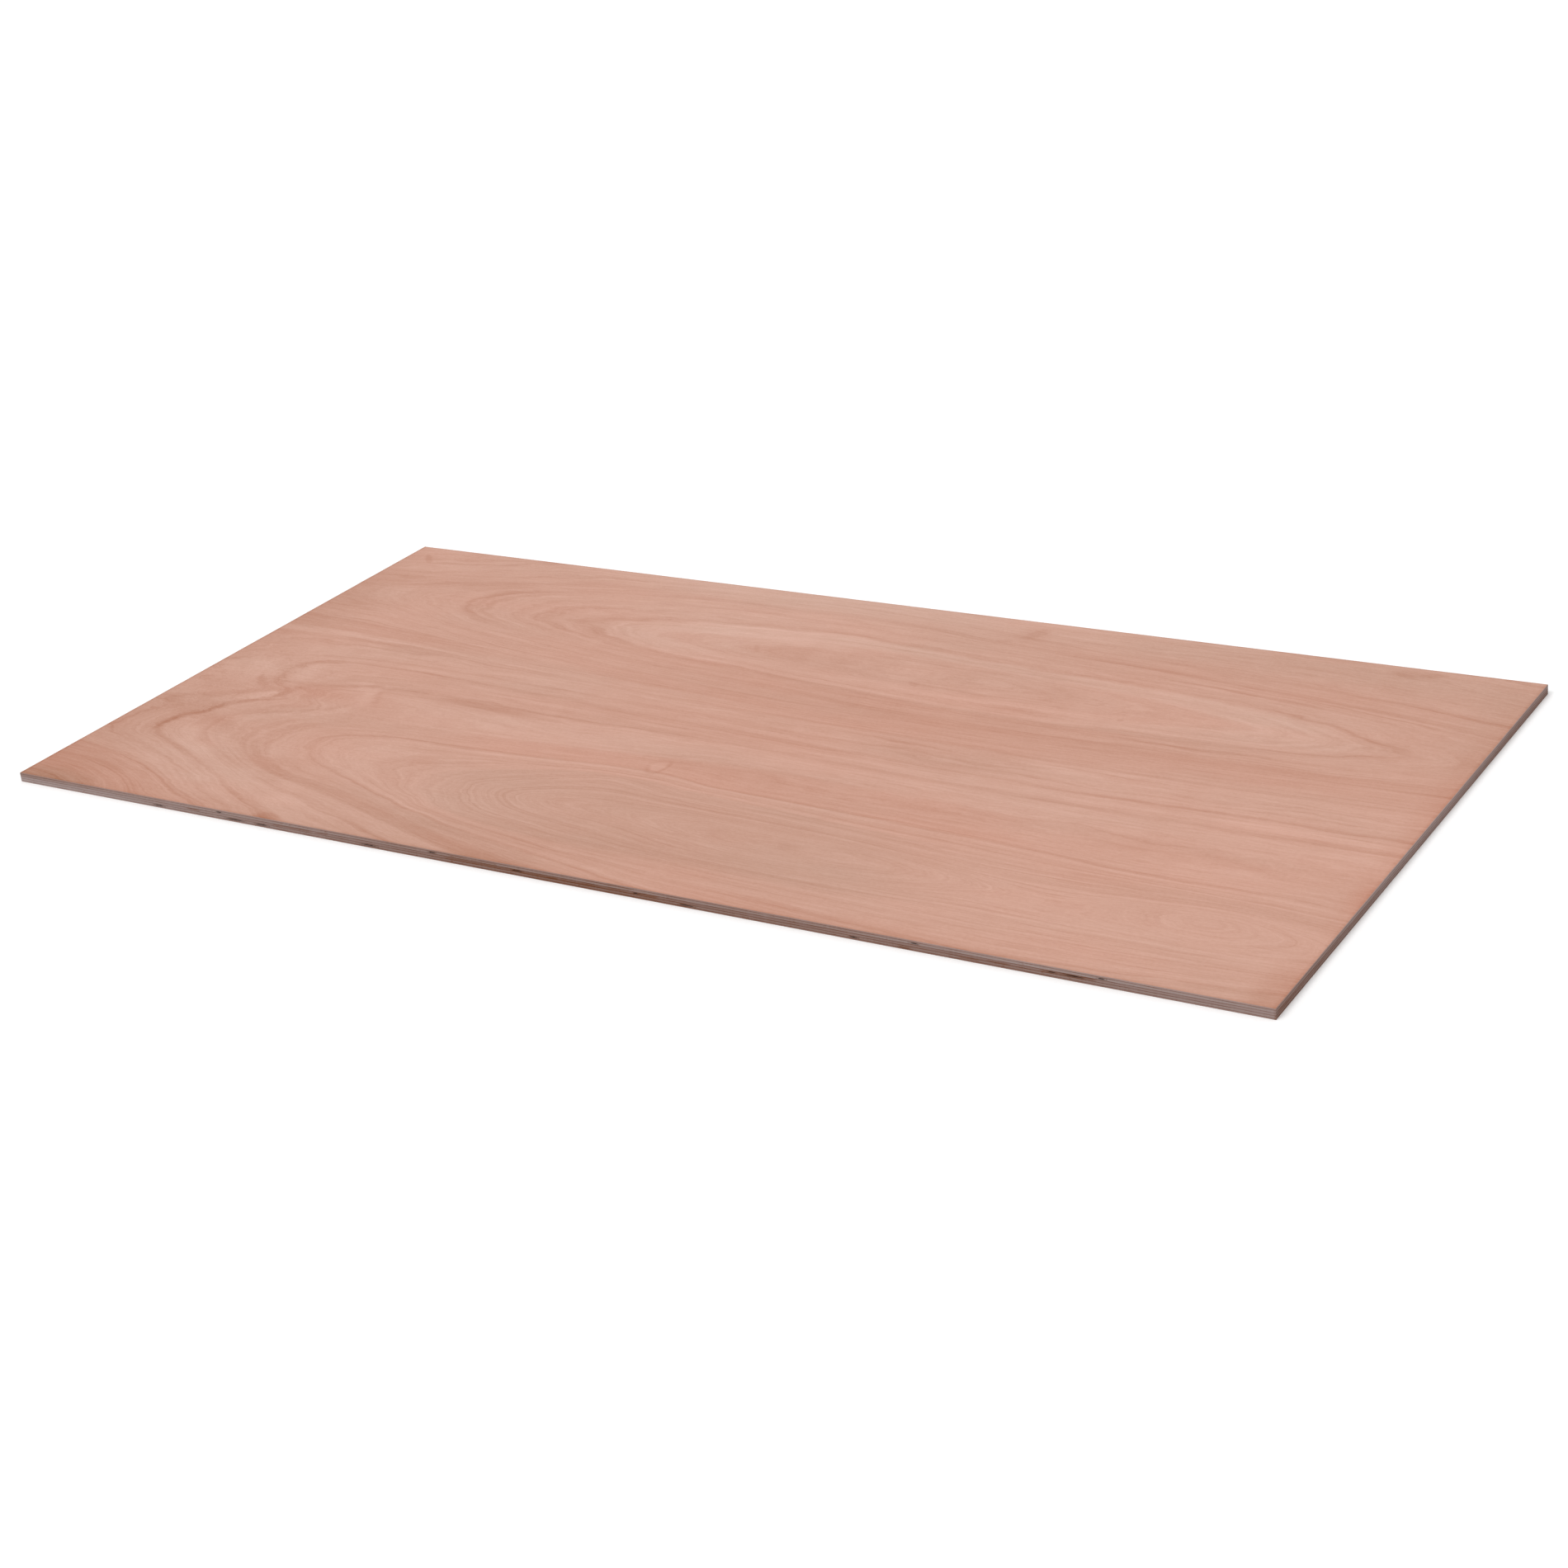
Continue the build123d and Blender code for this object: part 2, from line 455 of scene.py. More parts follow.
# Torn and twisted fibres of the disturbed grain: darkness, half width, points from end to end
STROKES = (
    (5, 0.9, ((20, 48.6), (17, 49.6), (15, 51.4), (14.2, 53.6), (14.6, 56.2), (15.6, 58.2), (19.4, 60.6))),
    (9, 0.9, ((11.4, 57.4), (12.8, 59.2), (14.6, 60.6), (16.4, 61))),
    (5, 0.9, ((16, 58.2), (20, 57.8), (25.5, 57.2), (29, 56.2), (33, 54.8))),
    (9, 1.3, ((1.5, 68.6), (5, 67.4), (8.6, 66), (12, 64.2), (15, 62), (19, 60.6))),
    (10, 0.9, ((20.4, 59.4), (19.8, 61.4), (18.6, 64.6), (15.4, 66.8), (13.4, 68.4))),
    (18, 0.9, ((13.4, 68.4), (12.5, 71), (11.8, 72.6), (9.8, 74.2), (8.9, 76), (8.2, 77.6), (8.9, 79.4))),
    (7, 0.8, ((8.9, 79.4), (11, 81.2), (14, 83), (18, 84.6), (21, 85.4))),
    (6, 0.6, ((33.5, 62), (31.5, 64.4), (28.4, 66.6), (24.5, 68), (21.5, 69.4))),
    (6, 0.8, ((36.5, 60.2), (35.2, 58), (34.6, 56.4), (36.5, 55.4), (42, 55))),
    (8, 2.2, ((14, 73.6), (19, 75.4), (24, 77.6), (28.5, 80.4), (33, 84.2), (40, 88))),
    (4, 1.5, ((33, 70.4), (30, 73), (29, 76.5), (30.5, 80.5))),
    (-6, 1.8, ((17.8, 51.4), (18, 54), (18.8, 56.6))),
    (-8, 1.5, ((14.6, 65.6), (16.6, 64), (18, 62.6))),
    (-7, 1.9, ((30.5, 55.6), (33.4, 57.4), (34.6, 60.4))),
    (-6, 2.6, ((6, 51.4), (9.5, 53), (11, 55.6))),
    (-4, 1.2, ((34, 64.4), (30.5, 67), (24.5, 69.4), (19, 72.2))),
    (-7, 1.3, ((14.4, 78.2), (17, 80.6))),
)

# Places where the ring lines stand out more or less: (x, y), (half length, half width), share added
STRONG_LINES = (
    ((11, 73), (6, 9), 0.3),
    ((25, 40.2), (24, 3), 0.9),
    ((107, 76), (26, 2.5), 0.8),
    ((165, 13), (45, 8), 0.5),
    ((18, 13), (24, 6), 0.9),
    ((60, 91), (20, 5), 0.3),
    ((30, 91), (12, 8), -0.8),
    ((52, 95), (16, 6), -0.6),
    ((186, 84), (16, 7), -0.7),
    ((17, 54), (6, 8), 0.5),
    ((70, 69), (36, 3), 0.4),
    ((187, 29), (9, 5), 0.2),
    ((28, 20), (9, 11), 0.7),
    ((60, 7), (50, 5), 0.3),
    ((180, 55), (60, 5), 0.8),
    ((37.5, 78), (7, 7), -0.9),
    ((31, 78), (6, 9), -0.4),
    ((20, 30), (25, 8), -0.3),
)

# How softly a band begins and ends: in growth levels, along the sheet and across it
BAND_SOFTNESS = (0.25, 14, 3)

# Where a patch fades and how softly, in shares of its half sizes, and how the darkness of a rim falls off
PATCH_EDGE = 0.6
PATCH_SOFTNESS = 0.8
RIM_POWER = 1.5

# The step that the growth's slope is measured over, in hundredths of the width, and a distance that no
# stroke reaches, in half widths of it
SLOPE_STEP = 0.4
NO_STROKE = 9.0


def smooth_curve(points):
    """Even steps along a Catmull-Rom curve through the points, closed if it ends where it began."""
    points = np.array(points, float)
    closed = np.allclose(points[0], points[-1])
    before = points[-2] if closed else 2 * points[0] - points[1]
    after = points[1] if closed else 2 * points[-1] - points[-2]
    line = np.vstack([before, points, after])
    steps = []
    for a, b, c, d in zip(line, line[1:], line[2:], line[3:]):
        run = c - b
        count = max(1, round(math.hypot(run[0] / GRAIN_STRETCH, run[1]) / RING_STEP))
        for t in np.arange(count) / count:
            bend = (2 * a - 5 * b + 4 * c - d) * t ** 2 + (3 * b - a - 3 * c + d) * t ** 3
            steps.append(b + ((c - a) * t + bend) / 2)
    if not closed:
        steps.append(points[-1])
    return np.array(steps)


class GrowthPlate:
    """The growth level anywhere on the face: a thin plate bent through all the rings."""

    def __init__(self):
        curves = [smooth_curve(points) for _, points in RINGS]
        levels = np.concatenate([np.full(len(c), float(level)) for c, (level, _) in zip(curves, RINGS)])
        self.held = np.vstack(curves) / (GRAIN_STRETCH, 1)
        count = len(self.held)
        flat = np.hstack([np.ones((count, 1)), self.held])
        system = np.zeros((count + 3, count + 3))
        system[:count, :count] = self.bend(self.held) + PLATE_SLACK * np.eye(count)
        system[:count, count:] = flat
        system[count:, :count] = flat.T
        answer = np.linalg.solve(system, np.concatenate([levels, np.zeros(3)]))
        self.pulls, self.tilt = answer[:count], answer[count:]

    def bend(self, points):
        """How far a thin plate gives at each point, for each of the points that hold it."""
        square = ((points[:, None] - self.held[None]) ** 2).sum(2)
        return square * np.log(np.maximum(square, 1e-12))

    def level(self, x, y):
        """The growth level at each point, worked out in lots that fit in memory."""
        lots = np.array_split(np.stack([x / GRAIN_STRETCH, y], 1), PLATE_LOTS)
        return np.concatenate([self.tilt[0] + lot @ self.tilt[1:] + self.bend(lot) @ self.pulls
                               for lot in lots])


def soft_step(value, edge, softness):
    """0 well below the edge and 1 well above it."""
    t = np.clip((value - edge) / softness + 0.5, 0, 1)
    return t * t * (3 - 2 * t)


def within(value, span, softness):
    return soft_step(value, span[0], softness) * (1 - soft_step(value, span[1], softness))


def patch(x, y, centre, half):
    """A soft oval: 1 at its centre and 0 from its rim outwards."""
    away = np.hypot((x - centre[0]) / half[0], (y - centre[1]) / half[1])
    return 1 - soft_step(away, PATCH_EDGE, PATCH_SOFTNESS)


def patched(x, y, rows, start):
    """The sum of soft ovals, each times its share."""
    return sum((share * patch(x, y, centre, half) for centre, half, share in rows), start)


def strokes(x, y):
    """How far each point is from the nearest stroke, in half widths of that stroke, and its darkness."""
    away, dark = np.full(len(x), NO_STROKE), np.zeros(len(x))
    for darkness, half, points in STROKES:
        for (ax, ay), (bx, by) in zip(points, points[1:]):
            run = math.hypot(bx - ax, by - ay)
            share = np.clip(((x - ax) * (bx - ax) + (y - ay) * (by - ay)) / run ** 2, 0, 1)
            found = np.hypot(x - ax - share * (bx - ax), y - ay - share * (by - ay)) / half
            nearer = found < away
            away[nearer], dark[nearer] = found[nearer], darkness
    return away, dark


def face_figure(points):
    """What the face's material reads at each vertex, worked out from its place in metres."""
    x, y = (points[:, 0] - LOW.x) / HUNDREDTH, (HIGH.y - points[:, 1]) / HUNDREDTH
    plate = GrowthPlate()
    level = plate.level(x, y)
    slope_x = (plate.level(x + SLOPE_STEP, y) - level) / SLOPE_STEP
    slope_y = (plate.level(x, y + SLOPE_STEP) - level) / SLOPE_STEP
    tones = []
    for *spans, dark, red in BANDS:
        in_level, in_x, in_y = map(within, (level, x, y), spans, BAND_SOFTNESS)
        tones.append((in_level * in_x * in_y, dark, red))
    for centre, half, dark, red in PATCHES:
        tones.append((patch(x, y, centre, half), dark, red))
    tone = sum(dark * share for share, dark, _ in tones)
    redness = sum(red * share for share, _, red in tones)
    from_rim = {FRONT: WIDTH / HUNDREDTH - y, RIGHT: LENGTH / HUNDREDTH - x, BACK: y, LEFT: x}
    for side, (reach, dark) in RIMS.items():
        tone += dark * np.clip(1 - from_rim[side] * HUNDREDTH / (reach * MM), 0, 1) ** RIM_POWER
    away, stroke = strokes(x, y)
    return {"growth": level, "spread": np.hypot(slope_x, slope_y), "lines": patched(x, y, STRONG_LINES, 1),
            "turmoil": patched(x, y, TURMOIL, 0), "away": away, "stroke": stroke,
            "tone": tone, "redness": redness}


# Meshes. A ply is a wall of columns round the sheet, closed by its two faces.

WALL_STEP = 2.0 * MM
WALL_COLUMNS = (round(LENGTH / WALL_STEP), round(WIDTH / WALL_STEP))
FACE_COLUMNS = (305, 200)
ARRIS_RADIUS = 0.35 * MM
ARRIS_TURNS = np.radians([0, 30, 60, 90])
GROOVE_DEPTH = 0.2 * MM
LIP_HEIGHT = 0.16 * MM
GLUE_REACH = 2.2 * LIP_HEIGHT
INNER_RING = 1.6 * MM
SAW_FUZZ = 0.03 * MM

# What is uneven round a wall: its mean, the length of its waves, its seed, and how far it goes each way
GROOVE_SHARE = (0.8, 9 * MM, 3, 0.4)
VENEER_GROOVE_SHARE = (0.8, 9 * MM, 4, 0.4)
ARRIS_SHARE = (1, 11 * MM, 21, 0.3)
LIP_SHARE = (0.82, 1.7 * MM, 5, 0.18)
CAVE_SHARE = (0.75, 3.1 * MM, 8, 0.25)
MARK_SHIFT = (0, 5 * MM, 11, 0.12)
GLUE_WAVE = 0.1 * MM
GLUE_WAVE_LENGTH = 23 * MM
GLUE_SEED = 40

# The pockets of the inner plies, as the solids have them, in millimetres: middle from the left end, length
GAP_DEPTH = 26.0 * MM
SPLIT_DEPTH = 5.0 * MM
GAP_ROOF = 0.3 * MM
SPLIT_ROOF = 0.4 * MM
LOWER_GAPS = ((168, 13), (257, 24), (287, 15), (405, 18), (725, 15), (877, 8))
CENTRE_SPLITS = ((560, 12), (677, 6), (1045, 7), (1063, 17))
UPPER_GAPS = ((239, 7), (473, 8), (930, 7), (1085, 6))
POCKETS = {
    "lower_crossband": (GAP_DEPTH, GAP_ROOF, LOWER_GAPS),
    "centre_ply": (SPLIT_DEPTH, SPLIT_ROOF, CENTRE_SPLITS),
    "upper_crossband": (GAP_DEPTH, GAP_ROOF, UPPER_GAPS),
}

# Where an inner ply's five middle rows lie on a closed wall, in shares of its height, and at a pocket, in
# shares of half its opening. There the middle three go in, by shares of its depth. ADDED_HALF is added to
# half the opening, and a pocket is shallower where that half is under FULL_HALF.
CLOSED_ROWS = np.arange(1, 6) / 6
MOUTH_ROWS = np.array([-1, -0.8, 0, 0.8, 1])
CAVE_ROWS = np.array([0.85, 1.0, 0.8])
ADDED_HALF = 0.02 * MM
FULL_HALF = 0.25 * MM
POCKET_STEP = 0.5 * MM

# Brown marks on the sawn edges, in millimetres along the side from its start:
# side, from, to, lowest and highest share of the ply's thickness, darkness
EDGE_MARKS = {
    "lower_crossband": (
        (FRONT, 916, 926, 0.1, 0.7, 26),
        (FRONT, 968, 984, 0.4, 1.0, 20),
        (RIGHT, 250, 330, 0.2, 0.6, 12),
        (BACK, 700, 715, 0.2, 0.9, 22),
    ),
    "centre_ply": (
        (FRONT, 202, 216, 0.3, 1.0, 26),
        (FRONT, 300, 342, 0.3, 0.9, 22),
        (FRONT, 348, 360, 0.3, 0.9, 22),
        (FRONT, 486, 600, 0.1, 0.8, 15),
        (FRONT, 590, 676, 0.0, 0.5, 15),
        (FRONT, 678, 698, 0.3, 0.9, 24),
        (FRONT, 992, 1010, 0.0, 0.6, 20),
        (FRONT, 1036, 1080, 0.1, 0.9, 22),
        (RIGHT, 4, 205, 0.3, 0.8, 26),
        (BACK, 300, 460, 0.2, 0.7, 20),
    ),
    "upper_crossband": (
        (FRONT, 490, 540, 0.3, 0.7, 24),
        (FRONT, 628, 674, 0.7, 1.0, 26),
        (LEFT, 120, 210, 0.3, 0.7, 16),
    ),
}
MARK_END = 4 * MM
MARK_EDGE = 0.3

# Long stretches of the sawn edges that are browner than the rest, or paler where the darkness is negative:
# plies, side, middle of the stretch and its reach each way in millimetres, darkness
UNDER_PLIES = PLY_NAMES[:3]
OVER_PLIES = PLY_NAMES[3:]
EDGE_STRETCHES = (
    (UNDER_PLIES, FRONT, 0, 380, -31),
    (UNDER_PLIES, FRONT, 620, 300, 24),
    (UNDER_PLIES, FRONT, 960, 200, 10),
    (PLY_NAMES, FRONT, 1220, 180, -14),
    (OVER_PLIES, FRONT, 220, 260, -14),
    (OVER_PLIES, FRONT, 1040, 240, -16),
    (UNDER_PLIES, RIGHT, 0, 100, 8),
    (OVER_PLIES, RIGHT, 0, 200, 13),
    (PLY_NAMES, RIGHT, 300, 290, -15),
    (PLY_NAMES, BACK, 450, 420, -8),
    (PLY_NAMES, LEFT, 300, 280, -8),
)

# How much darker each ply is along the short sides, where its other grain shows, from the bottom up
SIDE_TONES = dict(zip(PLY_NAMES, (13, 11, 1, -7, -25)))

# The map that a ply's materials are baked to: how high its wall and its two faces begin and end on it.
# The wall is cut into strips, each STRIP_LENGTH of the map long and STRIP_HEIGHT of its own room high.
INNER_MAP = ((0.0, 0.5), (0.52, 0.74), (0.76, 0.998))
VENEER_MAP = ((0.0, 0.1), (0.11, 0.14), (0.16, 0.998))
STRIPS = 8
STRIP_LENGTH = 0.99
STRIP_HEIGHT = 0.8
MAP_MARGIN = 0.002


class Wall:
    """The columns round a ply: the side that each is on, its distance along it, and which way is out."""

    def __init__(self, stops):
        self.side = np.concatenate([np.full(len(s), i) for i, s in enumerate(stops)])
        self.along = np.concatenate(stops)
        ways = np.array([(1, 0), (0, 1), (-1, 0), (0, -1)], float)
        outs = np.array([(0, -1), (1, 0), (0, 1), (-1, 0)], float)
        self.out = outs[self.side]
        first = np.flatnonzero(self.along == 0)
        self.out[first] = outs + outs[[3, 0, 1, 2]]
        self.foot = np.array(CORNERS)[self.side] + ways[self.side] * self.along[:, None]
        starts = np.concatenate([[0], np.cumsum(SIDE_LENGTHS)[:-1]])
        self.round = starts[self.side] + self.along

    def __len__(self):
        return len(self.along)

    def points(self, heights, depths):
        """The vertices of each row of each column, set back from the sheet's outline by their depths."""
        spots = self.foot[:, None, :] - self.out[:, None, :] * depths[..., None]
        return np.concatenate([spots, heights[..., None]], 2).reshape(-1, 3)

    def bends(self, mean, wave, seed, height):
        """A smooth uneven wander round the wall, which stays within the height of its mean."""
        rng = np.random.default_rng(seed)
        knots = np.arange(0, self.round.max() + 3 * wave, wave)
        turns = rng.uniform(-1, 1, len(knots))
        t = self.round / wave
        first = np.floor(t).astype(int)
        share = t - first
        share = share * share * (3 - 2 * share)
        return mean + height * (turns[first] * (1 - share) + turns[first + 1] * share)


def even_stops(steps):
    """Columns evenly spaced on each side, with so many steps on the long and the short sides."""
    return [np.arange(n) * size / n for n, size in zip(steps * 2, SIDE_LENGTHS)]


def pocket_stops(pockets):
    """Columns at the wall's step, closer together at each pocket of the front edge."""
    stops = even_stops(WALL_COLUMNS)
    for centre, length in pockets:
        start, end = (centre - length / 2) * MM, (centre + length / 2) * MM
        outside = (stops[FRONT] < start - POCKET_STEP) | (stops[FRONT] > end + POCKET_STEP)
        inside = np.linspace(start, end, round((end - start) / POCKET_STEP) + 1)
        stops[FRONT] = np.sort(np.concatenate([stops[FRONT][outside], inside]))
    return stops


def glue_line(index, wall):
    """The height of a glue line round the sheet. It wanders a little, and the outer faces are flat."""
    height = 0 if index in (0, len(PLY_NAMES)) else GLUE_WAVE
    return wall.bends(GLUE_HEIGHTS[index], GLUE_WAVE_LENGTH, GLUE_SEED + index, height)


def edge_tone(name, wall):
    """The broad tone of a ply along the four sawn sides."""
    tone = np.zeros(len(wall))
    for plies, side, middle, reach, dark in EDGE_STRETCHES:
        if name in plies:
            off = np.abs(wall.along - middle * MM) / (reach * MM)
            tone += dark * (1 - soft_step(off, 0.5, 1.0)) * (wall.side == side)
    tone[np.isin(wall.side, (RIGHT, LEFT))] += SIDE_TONES[name]
    return tone


def marks(name, wall, shares):
    """The brown marks on a ply's wall, at the share of its thickness that each row lies at."""
    found = np.zeros(shares.shape)
    ragged = shares + wall.bends(*MARK_SHIFT)[:, None]
    for side, start, end, low, high, dark in EDGE_MARKS.get(name, ()):
        length = within(wall.along, (start * MM, end * MM), MARK_END) * (wall.side == side)
        found += dark * length[:, None] * within(ragged, (low, high), MARK_EDGE)
    return found


def half_openings(wall, pockets, rise):
    """Half the height of the pocket at each column: a lens between two arcs, with torn lips."""
    half = np.zeros(len(wall))
    for centre, length in pockets:
        reach = length * MM / 2
        radius = (reach ** 2 + rise ** 2) / (2 * rise)
        off = np.abs(wall.along - centre * MM)
        here = (wall.side == FRONT) & (off <= reach + 1e-6)
        arc = np.sqrt(radius ** 2 - off[here] ** 2) - (radius - rise)
        half[here] = np.maximum(arc, 0) + ADDED_HALF
    return half * wall.bends(*LIP_SHARE)


def inner_rows(name, wall, low, high):
    """Heights and depths of an inner ply's rows. Five of them open round each pocket of the front edge."""
    depth, roof, pockets = POCKETS[name]
    index = PLY_NAMES.index(name)
    under, over = GLUE_HEIGHTS[index:index + 2]
    half = half_openings(wall, pockets, (high - low).mean() / 2 - roof)
    lip_low, lip_high = low + LIP_HEIGHT, high - LIP_HEIGHT
    closed = lip_low[:, None] + (lip_high - lip_low)[:, None] * CLOSED_ROWS
    mouth = (under + over) / 2 + half[:, None] * MOUTH_ROWS
    rows = np.where(half[:, None] > 0, mouth, closed)
    level = np.ones(len(wall))
    heights = np.column_stack([under * level, low, lip_low, rows, lip_high, high, over * level])
    depths = np.random.default_rng(index).uniform(0, SAW_FUZZ, heights.shape)
    depths[:, [0, -1]] = INNER_RING
    depths[:, [1, -2]] += GROOVE_DEPTH * wall.bends(*GROOVE_SHARE)[:, None]
    cave = depth * wall.bends(*CAVE_SHARE) * np.minimum(1, half / FULL_HALF)
    depths[:, 4:7] += cave[:, None] * CAVE_ROWS
    return heights, depths


def veneer_rows(name, wall, low, high):
    """Heights and depths of an outer veneer's rows, with a sanded arris on its outer side."""
    outer_up = name == PLY_NAMES[-1]
    glued, outer, way = (low, high, 1) if outer_up else (high, low, -1)
    radius = (ARRIS_RADIUS * wall.bends(*ARRIS_SHARE))[:, None]
    groove = GROOVE_DEPTH * wall.bends(*VENEER_GROOVE_SHARE)
    zero = np.zeros(len(wall))
    depths = np.column_stack([zero + INNER_RING, groove, zero, zero, radius * (1 - np.cos(ARRIS_TURNS))])
    flat = zero + GLUE_HEIGHTS[-2 if outer_up else 1]
    drop = radius * (1 - np.sin(ARRIS_TURNS))
    heights = np.column_stack([flat, glued, glued + way * LIP_HEIGHT, (glued + outer) / 2,
                               outer[:, None] - way * drop])
    return (heights, depths) if outer_up else (heights[:, ::-1], depths[:, ::-1])


def glue_shares(name, heights, low, high):
    """Each row's share of the ply's thickness, and how much glue shows there: none on an outer face."""
    under, over = heights - low[:, None], high[:, None] - heights
    shares = under / (high - low)[:, None]
    glue = 1 - np.clip(np.minimum(under, over) / GLUE_REACH, 0, 1)
    if name == PLY_NAMES[0]:
        glue *= shares > 0.5
    if name == PLY_NAMES[-1]:
        glue *= shares < 0.5
    return shares, glue


def wall_faces(wall, rows):
    """The four-sided faces of a wall, and the column and row that each begins at."""
    column, row = np.meshgrid(np.arange(len(wall)), np.arange(rows - 1), indexing="ij")
    column, row = column.ravel(), row.ravel()
    here, beside = column * rows + row, (column + 1) % len(wall) * rows + row
    return np.stack([here, beside, beside + 1, here + 1], 1), column, row


def wall_places(wall, rows, column, row, low, high):
    """The wall on the map: cut into strips of equal length, stacked between two heights."""
    whole = sum(SIDE_LENGTHS)
    strip = np.minimum((wall.round[column] / whole * STRIPS).astype(int), STRIPS - 1)
    start = strip * whole / STRIPS
    step = np.diff(np.append(wall.round, whole))[column]
    left = (wall.round[column] - start) * STRIPS / whole * STRIP_LENGTH + MAP_MARGIN
    right = left + step * STRIPS / whole * STRIP_LENGTH
    base = low + (high - low) * strip / STRIPS
    tall = (high - low) / STRIPS * STRIP_HEIGHT
    bottom, top = base + tall * row / (rows - 1), base + tall * (row + 1) / (rows - 1)
    return np.stack([left, bottom, right, bottom, right, top, left, top], 1)


def flat_places(points, low, high):
    """A flat face on the map: its length fills the map's width, between two heights."""
    across = (points[:, 0] - LOW.x) / LENGTH
    up = (points[:, 1] - LOW.y) / WIDTH
    return np.stack([MAP_MARGIN + (1 - 2 * MAP_MARGIN) * across, low + (high - low) * up], 1)


class Ply:
    """A ply as a mesh: its wall, what closes it, and the place of every face on the ply's map."""

    def __init__(self, node, stops, shape_rows, map_parts):
        index = PLY_NAMES.index(node)
        wall = Wall(stops)
        low, high = glue_line(index, wall), glue_line(index + 1, wall)
        heights, depths = shape_rows(node, wall, low, high)
        rows = heights.shape[1]
        shares, self.glue = glue_shares(node, heights, low, high)
        self.stain = marks(node, wall, shares) + edge_tone(node, wall)[:, None]
        self.node, self.map_parts = node, map_parts
        self.vertices = wall.points(heights, depths)
        self.faces, self.slots, self.places = [], [], []
        first = np.arange(len(wall)) * rows
        self.bottom, self.top = first[::-1], first + rows - 1
        faces, column, row = wall_faces(wall, rows)
        # The long sides wear the ply's first edge material and the short sides its second
        short_side = np.isin(wall.side[column], (RIGHT, LEFT)).astype(int)
        self.add(faces, short_side, wall_places(wall, rows, column, row, *map_parts[0]))

    def add(self, faces, slots, places):
        self.faces += faces.tolist()
        self.slots += slots.tolist()
        self.places.append(places.reshape(-1, 2))

    def close(self, faces, slot, part):
        """Adds flat faces in one slot and one part of the map."""
        places = flat_places(self.vertices[faces.ravel()], *self.map_parts[part])
        self.add(faces, np.full(len(faces), slot), places)

    def finish(self, name, slot, materials, figure):
        """Makes the piece that stands for the ply. Vertices inside its wall have no stain and no glue."""
        mesh = bpy.data.meshes.new(name)
        mesh.from_pydata(self.vertices.tolist(), [], self.faces)
        mesh.polygons.foreach_set("material_index", self.slots)
        layer = mesh.uv_layers.new(name="OFBake")
        layer.data.foreach_set("uv", np.concatenate(self.places).ravel())
        inside = np.zeros(len(self.vertices) - self.glue.size)
        values = dict(figure, stain=np.append(self.stain, inside), glue=np.append(self.glue, inside))
        for key, numbers in values.items():
            held = mesh.attributes.new(key, "FLOAT", "POINT")
            held.data.foreach_set("value", np.asarray(numbers, np.float32))
        for material in materials:
            mesh.materials.append(material)
        mesh.update()
        piece = add_object(name, mesh)
        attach(piece, "root")
        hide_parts(self.node)


def add_inner_ply(node, slot, materials):
    """An inner ply: a detailed wall between two hidden glued faces."""
    ply = Ply(node, pocket_stops(POCKETS[node][2]), inner_rows, INNER_MAP)
    ply.close(ply.bottom[None], 0, 1)
    ply.close(ply.top[None], 0, 2)
    ply.finish("sawn_" + node, slot, materials, {})


def add_back_veneer(materials):
    """The back veneer, with its outer face down."""
    ply = Ply("back_veneer", even_stops(WALL_COLUMNS), veneer_rows, VENEER_MAP)
    ply.close(ply.top[None], 0, 1)
    ply.close(ply.bottom[None], 2, 2)
    ply.finish("plain_back_veneer", "back_veneer", materials, {})


def add_face_veneer(materials):
    """The face veneer: a fine grid that carries the figure, its sanded arris and its sawn edge."""
    ply = Ply("face_veneer", even_stops(FACE_COLUMNS), veneer_rows, VENEER_MAP)
    ply.close(ply.bottom[None], 0, 1)
    long_steps, short_steps = FACE_COLUMNS
    xs = LOW.x + LENGTH * np.arange(1, long_steps) / long_steps
    ys = LOW.y + WIDTH * np.arange(1, short_steps) / short_steps
    x, y = np.meshgrid(xs, ys, indexing="ij")
    grid = np.zeros((long_steps + 1, short_steps + 1), int)
    grid[1:-1, 1:-1] = len(ply.vertices) + np.arange(x.size).reshape(x.shape)
    ends = np.cumsum([long_steps, short_steps, long_steps])
    grid[:-1, 0], grid[-1, :-1], grid[:0:-1, -1], grid[0, :0:-1] = np.split(ply.top, ends)
    ply.vertices = np.vstack([ply.vertices, np.stack([x.ravel(), y.ravel(), np.full(x.size, HIGH.z)], 1)])
    ply.close(np.stack([grid[:-1, :-1], grid[1:, :-1], grid[1:, 1:], grid[:-1, 1:]], 2).reshape(-1, 4), 2, 2)
    ply.finish("figured_face_veneer", "face_veneer", materials, face_figure(ply.vertices))


# Materials

FACE_BASE = linear(204, 157, 138)
BACK_BASE = linear(188, 150, 130)
VENEER_EDGE_BASE = linear(144, 118, 110)
CROSSBAND_BASE = linear(141, 118, 111)
CENTRE_BASE = linear(138, 114, 107)
GLUE_DARKNESS = 46.0
EDGE_DARKEST = 54.0
LEAST_SPREAD = 0.1

# How the relief follows the tones of the face and the back, and of an edge. The darker is the lower.
FACE_RELIEF = -0.1
EDGE_RELIEF = -0.05
FACE_RELIEF_DEPTH = 0.08 * MM
ROUGH_RELIEF_DEPTH = 0.12 * MM

